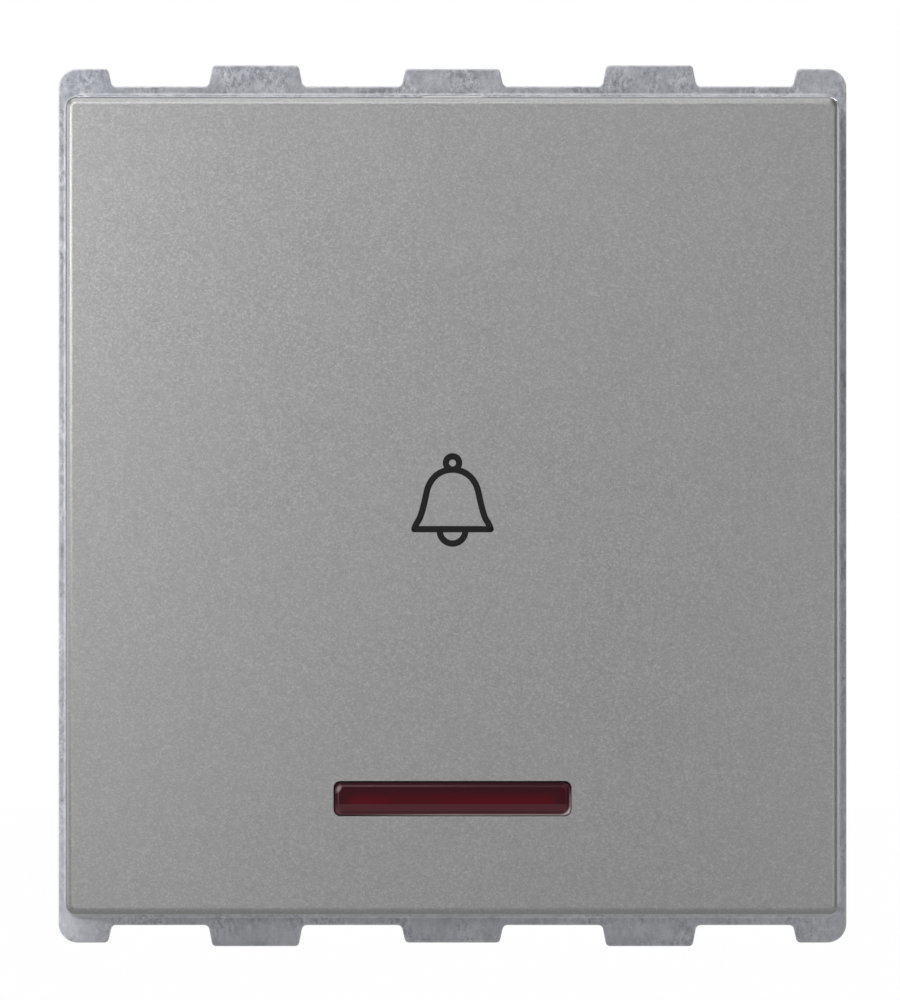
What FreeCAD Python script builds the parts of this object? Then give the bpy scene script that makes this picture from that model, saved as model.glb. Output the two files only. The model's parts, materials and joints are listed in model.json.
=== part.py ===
import FreeCAD, Part
import math
import os

Vec = FreeCAD.Vector

# Two-module bell push. X points right, Y points into the wall and Z points up.
# The rear seating plane of the frame's flange is y = 0. All values are in millimetres.

# Module format
module_pitch = 22.5
module_count = 2
neighbour_gap = 0.1
frame_width = module_count * module_pitch - neighbour_gap
tab_pitch = frame_width / 4

# Mounting frame, seen from the front
frame_base_height = 47.8
tall_tab_rise = 1.2
short_tab_rise = 1.0
tall_tab_tip = 4.9
middle_tab_tip = 5.35
corner_tab_tip = 2.8
tab_flank_run = 0.23
outer_corner_radius = 1.1
tab_tip_radius = 0.25
tab_root_radius = 0.3
flange_thickness = 1.6
land_side_border = 0.115
land_end_border = 0.21
land_rise = 0.35
land_corner_radius = 0.95
land_edge = 0.12
collar_wall = 0.75
collar_corner = 0.6
collar_face_gap = 0.9
collar_wedge = 1.8
window_end_margin = 1.3
window_corner = 0.8
release_slot_width = 4.2
release_slot_height = 1.6
release_slot_gap = 0.3
release_slot_radius = 0.5

# Clearances
housing_play = 0.1
pocket_play = 0.1
hinge_play = 0.04
guide_play = 0.06
thread_play = 0.03
seat_gap = 0.05
slot_play = 0.25
head_play = 0.15
collar_play = 0.47
lens_play = 0.05

# Rear housing
housing_side_inset = 1.95
housing_end_inset = 3.9
terminal_step = 1.5
terminal_step_rise = 1.5
housing_wall = 1.5
housing_corner_radius = 1.2
housing_rear_edge = 0.6
rim_wall = 0.8
side_rib_height = 0.5
side_rib_width = 1.2
side_rib_z = 9.0
side_rib_start = 9.0
label_width = 26.0
label_height = 13.0
label_top_margin = 4.0
label_sink = 0.3
label_radius = 0.8

# Skirt of the frame around the housing
skirt_wall = 1.2
skirt_depth = 7.0
skirt_corner_radius = 1.3
skirt_inner_corner = 0.6
skirt_strip = 1.2

# Snap tongues that catch behind a grid plate of 2 mm
tongue_width = 6.8
tongue_slit = 0.6
tongue_root = 12.0
tongue_notch_side = 0.6
barb_catch_y = 2.2
barb_rise = 2.3
barb_end_y = 9.0
barb_flat = 0.5

# Frame screws
screw_window_wall = 0.35
screw_collar_wall = 0.395
screw_z = 2.0
screw_radius = 1.1
screw_head_radius = 1.9
screw_head_depth = 1.0
screw_tip_y = 9.0
screw_boss_radius = 2.2
screw_boss_end = 11.0
screw_slot_width = 0.5
screw_slot_depth = 0.45
screw_head_sink = 0.05

# Push key
key_side_margin = 0.485
key_end_margin = 0.68
key_corner_radius = 0.55
key_edge_radius = 0.38
key_projection = 8.0
key_face_wall = 1.5
key_skirt_wall = 1.3
key_land_gap = 0.4
key_bottom_clear = 0.54
key_rib_wall = 0.9
key_rib_depth = 1.6
key_rib_x = 7.5
key_rib_top_gap = 0.8
key_notch_width = 5.0
key_notch_depth = 1.1

# Hinge near the key's top edge
press_angle = 3.5
hinge_setback = 2.9
hinge_window_gap = 0.6
trunnion_radius = 1.2
trunnion_end_gap = 0.3
lug_wall = 1.7
lug_side_gap = 0.3
lug_radius = 1.8
ear_wall = 1.7
ear_window_gap = 0.3
ear_radius = 2.25
ear_base_half = 2.6
ear_mouth = 2.1

# Stop hooks of the key
hook_window_margin = 2.1
hook_z = -12.5
hook_width = 3.0
hook_thickness = 1.3
hook_barb = 0.8
hook_barb_flat = 0.4
hook_tip_depth = 1.65
hook_tip_slope = 0.25
hook_lift = 0.55
gusset_height = 3.0
gusset_depth = 3.4

# Indicator lens and its light path
lens_width = 13.43
lens_height = 1.906
lens_inset = 6.58
lens_radius = 0.34
lens_bevel = 0.25
lens_sink = 0.08
lens_lip = 0.66
lens_flange_thickness = 0.8
light_leg_width = 10.0
light_leg_height = 1.5
light_leg_end_y = -1.5
chamber_gap = 0.8
chamber_wall = 0.8
chamber_depth = 1.9
light_window_width = 14.0
light_window_height = 2.8
light_window_rise = 0.24
baffle_wall = 0.6
baffle_height = 1.4

# Mechanism cover
cover_thickness = 1.5
cover_corner = 0.8
board_post_x = 8.5
board_post_drop = 0.4
board_post_width = 2.0

# Plunger and its stem
plunger_z = -3.5
plunger_radius = 2.0
plunger_dome_radius = 5.0
plunger_tip_y = -1.8
plunger_flange_radius = 4.5
plunger_flange_thickness = 1.2
spigot_radius = 2.2
spigot_height = 0.9
stem_radius = 1.5
stem_entry = 0.8
key_boss_radius = 2.5

# Contact bridge, washer and springs
bridge_front_y = 7.0
bridge_thickness = 0.8
bridge_length = 14.0
bridge_width = 4.0
tip_radius = 1.5
tip_height = 0.7
contact_gap = 1.2
washer_radius = 2.7
washer_thickness = 0.8
washer_bite = 0.01
spring_wire = 0.5
contact_spring_radius = 2.65
contact_spring_turns = 3.5
return_spring_radius = 2.2
return_spring_turns = 5.5
coil_steps = 12
tower_floor_wall = 3.5
tower_bore_radius = 3.0
tower_wall = 0.7
stem_guide_depth = 2.2

# Busbars and terminals
busbar_thickness = 0.8
busbar_overlap = 1.6
busbar_inset = 0.5
busbar_arm_half = 1.8
busbar_leg_width = 3.4
busbar_leg_reach = 2.0
busbar_corner = 0.4
terminal_side_inset = 8.5
terminal_end_inset = 8.0
terminal_size = 8.0
terminal_edge = 0.3
wire_radius = 1.8
wire_y = 14.4
entry_radius = 2.2
entry_funnel = 0.8
terminal_screw_radius = 1.75
terminal_screw_clear = 0.2
terminal_screw_travel = 2.6
terminal_screw_tip = 0.3
terminal_head_radius = 3.0
terminal_head_height = 1.7
terminal_head_gap = 0.1
terminal_slot_width = 0.9
terminal_slot_depth = 0.9
terminal_head_recess = 1.4
well_radius = 3.3
cell_wall = 1.2
pedestal_margin = 0.7
pedestal_half = 2.5
guide_rib_wall = 0.8
guide_rib_gap = 0.35
guide_rib_lead = 0.8
guide_rib_inner_x = 5.0
barrier_half = 0.8

# Indicator board
board_side_margin = 0.5
board_low_margin = 1.4
board_high_margin = 1.65
board_front_y = 7.6
board_thickness = 1.0
led_radius = 1.5
led_flange_radius = 1.8
led_flange_height = 0.6
led_height = 4.5
led_bevel = 0.5
component_rise = 4.0
component_pin_gap = 4.1
resistor_radius = 1.15
resistor_length = 6.0
diode_radius = 0.9
diode_length = 4.0
lead_width = 0.6
lead_thickness = 0.4
lead_reach = 0.8
component_lift = 0.1
board_pin_inset = 2.0
board_pin_width = 0.8

# Positions that follow from the values above
key_width = frame_width - 2 * key_side_margin
key_height = frame_base_height - 2 * key_end_margin
land_width = key_width + 2 * land_side_border
land_height = key_height + 2 * land_end_border
housing_width = frame_width - 2 * housing_side_inset
housing_height = frame_base_height - 2 * housing_end_inset
key_front_y = -key_projection
key_inner_y = key_front_y + key_face_wall
key_inner_width = key_width - 2 * key_skirt_wall
key_inner_height = key_height - 2 * key_skirt_wall
skirt_inner_width = housing_width + 2 * housing_play
skirt_inner_height = housing_height + 2 * housing_play
skirt_outer_width = skirt_inner_width + 2 * skirt_wall
skirt_outer_height = skirt_inner_height + 2 * skirt_wall
land_front_y = -flange_thickness - land_rise
collar_width = key_inner_width - 2 * collar_play
collar_height = key_inner_height - 2 * collar_play
collar_front_y = key_inner_y + collar_face_gap
collar_bottom_y = collar_front_y + collar_wedge
release_slot_low = collar_height / 2 + release_slot_gap
barb_top_z = housing_height / 2 + barb_rise

screw_x = collar_width / 2 - collar_wall - screw_collar_wall - head_play - screw_head_radius
window_width = 2 * (screw_x - screw_head_radius - head_play - screw_window_wall)
window_height = housing_height - 2 * window_end_margin
ear_outer_x = window_width / 2 - ear_window_gap
ear_inner_x = ear_outer_x - ear_wall
trunnion_end_x = ear_outer_x - trunnion_end_gap
lug_outer_x = ear_inner_x - lug_side_gap
lug_inner_x = lug_outer_x - lug_wall
hook_x = window_width / 2 - hook_window_margin
hinge_y = key_inner_y + hinge_setback
hinge_z = window_height / 2 - hinge_window_gap - ear_base_half
key_travel = (hinge_z + key_height / 2) * math.tan(math.radians(press_angle))
key_rear_top_y = land_front_y - key_land_gap
key_rear_bottom_y = land_front_y - key_travel - key_bottom_clear
hook_low_z = hook_z - hook_thickness / 2
hook_high_z = hook_z + hook_thickness / 2

lens_z = lens_inset - key_height / 2
lens_flange_width = lens_width + 2 * lens_lip
lens_flange_height = lens_height + 2 * lens_lip
chamber_width = lens_flange_width + 2 * chamber_gap
chamber_height = lens_flange_height + 2 * chamber_gap
light_window_z = lens_z + light_window_rise
key_rib_top_z = collar_height / 2 - collar_wall - key_rib_top_gap
key_rib_bottom_z = lens_z + chamber_height / 2 + chamber_wall / 2

inner_half_width = housing_width / 2 - housing_wall
inner_half_height = housing_height / 2 - housing_wall
rim_half_width = housing_width / 2 - rim_wall
rim_half_height = housing_height / 2 - rim_wall
cover_width = 2 * (rim_half_width - housing_play)
cover_height = 2 * (rim_half_height - housing_play)

label_z = housing_height / 2 - label_top_margin - label_height / 2
terminal_x = housing_width / 2 - terminal_side_inset
terminal_z = terminal_end_inset - housing_height / 2

bridge_back_y = bridge_front_y + bridge_thickness
washer_back_y = bridge_back_y + washer_thickness
moving_tip_y = bridge_back_y + tip_height
fixed_tip_y = moving_tip_y + contact_gap
contact_x = bridge_length / 2 - tip_radius
pedestal_outer_x = bridge_length / 2 + pedestal_margin
guide_rib_front_y = bridge_front_y - guide_rib_lead

busbar_front_y = fixed_tip_y + tip_height
busbar_back_y = busbar_front_y + busbar_thickness
busbar_inner_x = contact_x - busbar_overlap
busbar_outer_x = terminal_x - busbar_inset
busbar_leg_end_z = terminal_z - busbar_leg_reach
terminal_back_y = busbar_back_y + terminal_size
terminal_top_z = terminal_z + terminal_size / 2
terminal_bottom_z = terminal_z - terminal_size / 2
screw_tip_rest_y = wire_y + wire_radius + terminal_screw_clear
head_front_y = terminal_back_y + terminal_screw_travel + terminal_head_gap
head_back_y = head_front_y + terminal_head_height
terminal_depth = head_back_y + terminal_head_recess
housing_depth = terminal_depth - terminal_step
tower_floor_y = housing_depth - tower_floor_wall
stem_guide_end_y = tower_floor_y + stem_guide_depth
stem_end_y = tower_floor_y + stem_entry
cell_low_x = terminal_x - terminal_size / 2 - pocket_play - cell_wall
cell_high_x = terminal_x + terminal_size / 2 + pocket_play + cell_wall
cell_top_z = terminal_top_z + pocket_play + cell_wall
terminal_step_z = cell_top_z + terminal_step_rise

component_z = light_window_z + component_rise
board_low_z = light_window_z - board_low_margin
board_high_z = component_z + board_high_margin
board_post_z = light_window_z - board_post_drop
board_pin_x = busbar_outer_x - board_pin_inset
board_width = 2 * (board_pin_x + board_side_margin)
component_x = board_pin_x - component_pin_gap
board_back_y = board_front_y + board_thickness
led_front_y = board_front_y - led_height


# Basic shapes, all stated by their spans or their axis
def box(x_span, y_span, z_span):
    corner = Vec(x_span[0], y_span[0], z_span[0])
    length = x_span[1] - x_span[0]
    depth = y_span[1] - y_span[0]
    height = z_span[1] - z_span[0]
    return Part.makeBox(length, depth, height, corner)


def centred(size, middle=0.0):
    return (middle - size / 2, middle + size / 2)


def rod_y(radius, y_span, x, z):
    return Part.makeCylinder(radius, y_span[1] - y_span[0], Vec(x, y_span[0], z), Vec(0, 1, 0))


def rod_x(radius, x_span, y, z):
    return Part.makeCylinder(radius, x_span[1] - x_span[0], Vec(x_span[0], y, z), Vec(1, 0, 0))


def rod_z(radius, z_span, x, y):
    return Part.makeCylinder(radius, z_span[1] - z_span[0], Vec(x, y, z_span[0]), Vec(0, 0, 1))


def edges_along_y(shape):
    found = []
    for edge in shape.Edges:
        bounds = edge.BoundBox
        if bounds.XLength < 1e-4 and bounds.ZLength < 1e-4 and bounds.YLength > 1e-4:
            found.append(edge)
    return found


def edges_in_plane_y(shape, y):
    found = []
    for edge in shape.Edges:
        bounds = edge.BoundBox
        if abs(bounds.YMin - y) < 1e-4 and abs(bounds.YMax - y) < 1e-4:
            found.append(edge)
    return found


def plate(width, height, radius, y_span, x=0.0, z=0.0):
    x_span = (x - width / 2, x + width / 2)
    z_span = (z - height / 2, z + height / 2)
    block = box(x_span, y_span, z_span)
    return block.makeFillet(radius, edges_along_y(block))


def panel(width, height, corner, y_span, x=0.0, z=0.0):
    x_span = (x - width / 2, x + width / 2)
    z_span = (z - height / 2, z + height / 2)
    block = box(x_span, y_span, z_span)
    return block.makeChamfer(corner, edges_along_y(block))


def prism_x(profile, x_span):
    points = [Vec(x_span[0], y, z) for y, z in profile]
    face = Part.Face(Part.makePolygon(points + points[:1]))
    return face.extrude(Vec(x_span[1] - x_span[0], 0, 0))


def revolved_y(profile, x, z):
    points = [Vec(x + radius, y, z) for radius, y in profile]
    face = Part.Face(Part.makePolygon(points + points[:1]))
    return face.revolve(Vec(x, 0, z), Vec(0, 1, 0), 360)


def joined(pieces):
    whole = pieces[0].multiFuse(pieces[1:])
    return whole.removeSplitter()


def mirrored(shape):
    return shape.mirror(Vec(0, 0, 0), Vec(1, 0, 0))


def both_sides(shape):
    return [shape, mirrored(shape)]


# Six-sided section of the spring wire, square to its direction, with two corners towards the wire's ends
def wire_section(centre, direction):
    across = direction.cross(Vec(1, 0, 0)).normalize()
    outward = across.cross(direction).normalize()
    corners = []
    for step in range(6):
        angle = math.radians(60 * step)
        corners.append(centre + (across * math.cos(angle) + outward * math.sin(angle)) * (spring_wire / 2))
    return Part.makePolygon(corners + corners[:1])


def coil_y(radius, turns, y_span, z):
    start = y_span[0] + spring_wire / 2
    rise = y_span[1] - y_span[0] - spring_wire
    steps = int(round(turns * coil_steps))
    points = []
    for step in range(steps + 1):
        angle = 2 * math.pi * turns * step / steps
        x = radius * math.cos(angle)
        points.append(Vec(x, start + rise * step / steps, z + radius * math.sin(angle)))
    path = Part.makePolygon(points)
    return path.makePipeShell([wire_section(points[0], points[1] - points[0])], True, True, 1)


# Mounting frame
def tab_points(tab_x, tip_width, tip_z, base_z):
    tip_half = tip_width / 2
    base_half = tip_half + tab_flank_run
    left = [(tab_x - base_half, base_z), (tab_x - tip_half, tip_z)]
    right = [(tab_x + tip_half, tip_z), (tab_x + base_half, base_z)]
    return left + right


def castellated_outline():
    base_z = frame_base_height / 2
    tall_z = base_z + tall_tab_rise
    short_z = base_z + short_tab_rise
    side = frame_width / 2
    tip_x = side - corner_tab_tip
    root_x = tip_x - tab_flank_run
    top = [(-side, short_z), (-tip_x, short_z), (-root_x, base_z)]
    top += tab_points(-tab_pitch, tall_tab_tip, tall_z, base_z)
    top += tab_points(0.0, middle_tab_tip, short_z, base_z)
    top += tab_points(tab_pitch, tall_tab_tip, tall_z, base_z)
    top += [(root_x, base_z), (tip_x, short_z), (side, short_z)]
    bottom = [(x, -z) for x, z in reversed(top)]
    return top + bottom


def rounded_flange():
    points = [Vec(x, -flange_thickness, z) for x, z in castellated_outline()]
    face = Part.Face(Part.makePolygon(points + points[:1]))
    flange = face.extrude(Vec(0, flange_thickness, 0))
    side = frame_width / 2
    corners = [e for e in edges_along_y(flange) if abs(abs(e.BoundBox.XMin) - side) < 0.01]
    flange = flange.makeFillet(outer_corner_radius, corners)
    base_z = frame_base_height / 2
    inside = [e for e in edges_along_y(flange) if abs(e.BoundBox.XMin) < side - outer_corner_radius - 0.1]
    tips = [e for e in inside if abs(e.BoundBox.ZMin) > base_z + 0.1]
    flange = flange.makeFillet(tab_tip_radius, tips)
    roots = [e for e in edges_along_y(flange) if abs(abs(e.BoundBox.ZMin) - base_z) < 0.01]
    return flange.makeFillet(tab_root_radius, roots)


def raised_land():
    land = plate(land_width, land_height, land_corner_radius, (land_front_y, -flange_thickness / 2))
    return land.makeChamfer(land_edge, edges_in_plane_y(land, land_front_y))


def wedge_collar():
    y_span = (collar_front_y, -flange_thickness)
    outer = panel(collar_width, collar_height, collar_corner, y_span)
    inner_width = collar_width - 2 * collar_wall
    inner_height = collar_height - 2 * collar_wall
    inner = panel(inner_width, inner_height, collar_corner / 2, (collar_front_y - 1, 1.0))
    low_z = -collar_height / 2 - 1.0
    high_z = collar_height / 2 + 1.0
    slope = math.tan(math.radians(press_angle))
    front = [(collar_front_y * 2, low_z), (collar_bottom_y + slope, low_z)]
    front += [(collar_bottom_y - slope * (high_z - low_z - 1.0), high_z), (collar_front_y * 2, high_z)]
    return outer.cut(inner).cut(prism_x(front, (-key_width, key_width)))


def frame_skirt():
    outer = plate(skirt_outer_width, skirt_outer_height, skirt_corner_radius, (-0.1, skirt_depth))
    inner = panel(skirt_inner_width, skirt_inner_height, skirt_inner_corner, (-1.0, skirt_depth + 1.0))
    notch_half = tongue_width / 2 + tongue_notch_side
    notch = box((-notch_half, notch_half), (skirt_strip, skirt_depth + 1), (-housing_height, housing_height))
    return outer.cut(inner).cut(notch)


def screw_places():
    return [(-screw_x, screw_z), (screw_x, screw_z)]


def mounting_frame():
    body = joined([rounded_flange(), raised_land(), wedge_collar(), frame_skirt()])
    body = body.cut(panel(window_width, window_height, window_corner, (-4.0, 1.0)))
    slot_z = release_slot_low + release_slot_height / 2
    slot_y = (-4.0, 1.0)
    body = body.cut(plate(release_slot_width, release_slot_height, release_slot_radius, slot_y, 0.0, slot_z))
    for x, z in screw_places():
        body = body.cut(rod_y(screw_radius + slot_play, (-4.0, 1.0), x, z))
        floor_y = land_front_y + screw_head_sink + screw_head_depth + seat_gap
        body = body.cut(rod_y(screw_head_radius + head_play, (land_front_y - 1, floor_y), x, z))
    return body


def frame_screw(x, z):
    head_y = land_front_y + screw_head_sink
    neck_y = head_y + screw_head_depth
    head = rod_y(screw_head_radius, (head_y, neck_y), x, z)
    screw = joined([head, rod_y(screw_radius, (neck_y - 0.1, screw_tip_y), x, z)])
    reach = screw_head_radius + 1.0
    half = screw_slot_width / 2
    depth = (head_y - 0.1, head_y + screw_slot_depth)
    return screw.cut(box((x - reach, x + reach), depth, (z - half, z + half)))


def frame_screws():
    return Part.makeCompound([frame_screw(x, z) for x, z in screw_places()])


# Push key
def key_shell():
    body = plate(key_width, key_height, key_corner_radius, (key_front_y, 0.0))
    body = body.makeFillet(key_edge_radius, edges_in_plane_y(body, key_front_y))
    hollow = box(centred(key_inner_width), (key_inner_y, 1.0), centred(key_inner_height))
    body = body.cut(hollow)
    half = key_height / 2
    slope = (key_rear_top_y - key_rear_bottom_y) / key_height
    low = (key_rear_bottom_y - slope, -half - 1.0)
    high = (key_rear_top_y + slope, half + 1.0)
    behind = [low, high, (2.0, half + 1.0), (2.0, -half - 1.0)]
    body = body.cut(prism_x(behind, (-key_width, key_width)))
    notch_span = (-key_notch_width / 2, key_notch_width / 2)
    notch_y = (key_rear_top_y - key_notch_depth, 0.0)
    return body.cut(box(notch_span, notch_y, (half - 2 * key_skirt_wall, half + 1.0)))


def key_ribs():
    depth = (key_inner_y - 0.3, key_inner_y + key_rib_depth)
    half = key_rib_wall / 2
    reach = collar_width / 2 - collar_wall - 2 * slot_play
    ribs = [box((-reach, reach), depth, (plunger_z - half, plunger_z + half))]
    upright = box((key_rib_x - half, key_rib_x + half), depth, (key_rib_bottom_z, key_rib_top_z))
    return ribs + both_sides(upright)


def hinge_lug():
    front = key_inner_y - 0.3
    neck = box((lug_inner_x, lug_outer_x), (front, hinge_y), (hinge_z - lug_radius, hinge_z + lug_radius))
    head = rod_x(lug_radius, (lug_inner_x, lug_outer_x), hinge_y, hinge_z)
    trunnion = rod_x(trunnion_radius, (lug_inner_x, trunnion_end_x), hinge_y, hinge_z)
    return joined([neck, head, trunnion])


def stop_hook():
    root_y = key_inner_y - 0.3
    catch_y = cover_thickness + seat_gap
    tip_y = catch_y + hook_tip_depth
    profile = [(root_y, hook_high_z), (tip_y, hook_high_z), (tip_y, hook_low_z + hook_tip_slope)]
    profile += [(catch_y + hook_barb_flat, hook_low_z - hook_barb), (catch_y, hook_low_z - hook_barb)]
    profile += [(catch_y, hook_low_z), (root_y, hook_low_z)]
    return prism_x(profile, (hook_x - hook_width / 2, hook_x + hook_width / 2))


def hook_gusset():
    root_y = key_inner_y - 0.3
    half = key_rib_wall / 2
    profile = [(root_y, hook_high_z - 0.2), (root_y, hook_high_z + gusset_height)]
    profile += [(key_inner_y + gusset_depth, hook_high_z - 0.2)]
    return prism_x(profile, (hook_x - half, hook_x + half))


def light_chamber():
    depth = (key_inner_y - 0.3, key_inner_y + chamber_depth)
    outer_x = centred(chamber_width + 2 * chamber_wall)
    outer_z = centred(chamber_height + 2 * chamber_wall, lens_z)
    through = (key_inner_y - 1.0, key_inner_y + chamber_depth + 1.0)
    inner = box(centred(chamber_width), through, centred(chamber_height, lens_z))
    return box(outer_x, depth, outer_z).cut(inner)


def push_key():
    boss_y = (key_inner_y - 0.3, plunger_tip_y - seat_gap)
    pieces = [key_shell(), rod_y(key_boss_radius, boss_y, 0.0, plunger_z), light_chamber()]
    pieces += key_ribs()
    pieces += both_sides(hinge_lug())
    pieces += both_sides(stop_hook())
    pieces += both_sides(hook_gusset())
    body = joined(pieces)
    slot_width = lens_width + 2 * lens_play
    slot_height = lens_height + 2 * lens_play
    slot_y = (key_front_y - 1, key_inner_y + 1)
    return body.cut(plate(slot_width, slot_height, lens_radius + lens_play, slot_y, 0.0, lens_z))


def indicator_lens():
    flange_front_y = key_inner_y + seat_gap
    flange_back_y = flange_front_y + lens_flange_thickness
    front = plate(lens_width, lens_height, lens_radius, (key_front_y + lens_sink, flange_back_y), 0.0, lens_z)
    front = front.makeChamfer(lens_bevel, edges_in_plane_y(front, key_front_y + lens_sink))
    flange_z = centred(lens_flange_height, lens_z)
    flange = box(centred(lens_flange_width), (flange_front_y, flange_back_y), flange_z)
    leg_z = centred(light_leg_height, lens_z)
    leg = box(centred(light_leg_width), (flange_front_y, light_leg_end_y), leg_z)
    return joined([front, flange, leg])


# Mechanism cover
def bearing_ear():
    head_z = (hinge_z - ear_radius, hinge_z + ear_radius)
    base_z = (hinge_z - ear_base_half, hinge_z + ear_base_half)
    profile = [(0.5, base_z[0]), (hinge_y, head_z[0]), (hinge_y, head_z[1]), (0.5, base_z[1])]
    span = (ear_inner_x, ear_outer_x)
    ear = joined([prism_x(profile, span), rod_x(ear_radius, span, hinge_y, hinge_z)])
    through = (ear_inner_x - 1.0, ear_outer_x + 1.0)
    ear = ear.cut(rod_x(trunnion_radius + hinge_play, through, hinge_y, hinge_z))
    half = ear_mouth / 2
    return ear.cut(box(through, (hinge_y - 2 * ear_radius, hinge_y), (hinge_z - half, hinge_z + half)))


def light_baffle():
    width = light_window_width + 2 * baffle_wall
    height = light_window_height + 2 * baffle_wall
    return box(centred(width), (-baffle_height, 0.5), centred(height, light_window_z))


def mechanism_cover():
    pieces = [panel(cover_width, cover_height, cover_corner, (0.0, cover_thickness))]
    pieces += both_sides(bearing_ear())
    pieces += [light_baffle()]
    post_x = centred(board_post_width, board_post_x)
    post_z = centred(board_post_width, board_post_z)
    pieces += both_sides(box(post_x, (cover_thickness / 2, board_front_y), post_z))
    body = joined(pieces)
    body = body.cut(rod_y(plunger_radius + guide_play, (-2.0, 3.0), 0.0, plunger_z))
    window_z = centred(light_window_height, light_window_z)
    body = body.cut(box(centred(light_window_width), (-3.0, 3.0), window_z))
    slot_x = (hook_x - hook_width / 2 - slot_play, hook_x + hook_width / 2 + slot_play)
    slot = box(slot_x, (-1.0, 3.0), (hook_low_z - housing_play, hook_high_z + hook_lift))
    for opening in both_sides(slot):
        body = body.cut(opening)
    for x, z in screw_places():
        body = body.cut(rod_y(screw_radius + slot_play, (-1.0, 3.0), x, z))
    return body


# Rear housing
def housing_outside():
    half = housing_height / 2
    step = terminal_depth - housing_depth
    profile = [(0.0, -half), (terminal_depth, -half), (terminal_depth, terminal_step_z)]
    profile += [(housing_depth, terminal_step_z + step), (housing_depth, half), (0.0, half)]
    body = prism_x(profile, (-housing_width / 2, housing_width / 2))
    body = body.makeFillet(housing_corner_radius, edges_along_y(body))
    rear = [e for e in body.Edges if e.BoundBox.YMin > housing_depth - 1e-4]
    outline = [e for e in rear if not crosses_step(e, terminal_step_z, terminal_step_z + step)]
    return body.makeChamfer(housing_rear_edge, outline)


def crosses_step(edge, low_z, high_z):
    bounds = edge.BoundBox
    inside = bounds.ZMin > low_z - 0.1 and bounds.ZMax < high_z + 0.1
    return inside and bounds.XLength > housing_width / 2


def housing_inside():
    width = 2 * inner_half_width
    height = 2 * inner_half_height
    return box(centred(width), (-1.0, housing_depth - housing_wall), centred(height))


def cover_rebate():
    return panel(2 * rim_half_width, 2 * rim_half_height, cover_corner, (-1.0, cover_thickness))


def terminal_cell():
    x_span = (cell_low_x, cell_high_x)
    return box(x_span, (busbar_back_y, housing_depth), (-inner_half_height - 0.2, cell_top_z))


def terminal_pocket():
    half = terminal_size / 2 + pocket_play
    x_span = (terminal_x - half, terminal_x + half)
    pocket = box(x_span, (busbar_back_y - 1.0, terminal_back_y), (terminal_z - half, terminal_z + half))
    well = rod_y(well_radius, (terminal_back_y - 0.5, terminal_depth + 1.0), terminal_x, terminal_z)
    return joined([pocket, well])


def wire_entry():
    bottom = -housing_height / 2
    passage = rod_z(entry_radius, (bottom - 1.0, terminal_bottom_z), terminal_x, wire_y)
    wide = entry_radius + entry_funnel
    axis = Vec(0, 0, 1)
    funnel = Part.makeCone(wide, entry_radius, entry_funnel, Vec(terminal_x, wire_y, bottom), axis)
    return joined([passage, funnel])


def contact_pedestal():
    z_span = (plunger_z - pedestal_half, plunger_z + pedestal_half)
    return box((tower_bore_radius + 0.3, pedestal_outer_x), (busbar_back_y, housing_depth - 1), z_span)


def bridge_guides():
    inner = bridge_width / 2 + guide_rib_gap
    outer = inner + guide_rib_wall
    x_span = (guide_rib_inner_x, pedestal_outer_x)
    y_span = (guide_rib_front_y, housing_depth - 1)
    upper = box(x_span, y_span, (plunger_z + inner, plunger_z + outer))
    lower = box(x_span, y_span, (plunger_z - outer, plunger_z - inner))
    return [upper, lower]


def barrier_rib():
    x_span = (-barrier_half, barrier_half)
    low_z = -inner_half_height - 0.2
    deep = box(x_span, (busbar_back_y, housing_depth - 1), (low_z, plunger_z))
    rest = box(x_span, (board_back_y, housing_depth - 1), (low_z, board_high_z))
    return [deep, rest]


def side_ribs():
    side = housing_width / 2
    half = side_rib_width / 2
    ribs = []
    for z in (-side_rib_z, side_rib_z):
        x_span = (side - 0.3, side + side_rib_height)
        rib = box(x_span, (side_rib_start, housing_depth - housing_corner_radius), (z - half, z + half))
        ribs += both_sides(rib)
    return ribs


def tongue_slits(sign):
    slits = []
    wall_z = sorted((sign * (inner_half_height - 0.6), sign * (housing_height / 2 + 1)))
    for side in (-1, 1):
        slit_x = sorted((side * tongue_width / 2, side * (tongue_width / 2 + tongue_slit)))
        slits.append(box(slit_x, (-1.0, tongue_root), wall_z))
    return slits


def tongue_barb(sign):
    wall_z = sign * (housing_height / 2 - 0.5)
    root_z = sign * housing_height / 2
    top_z = sign * barb_top_z
    profile = [(barb_catch_y, wall_z), (barb_catch_y, top_z), (barb_catch_y + barb_flat, top_z)]
    profile += [(barb_end_y, root_z), (barb_end_y, wall_z)]
    return prism_x(profile, (-tongue_width / 2, tongue_width / 2))


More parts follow.
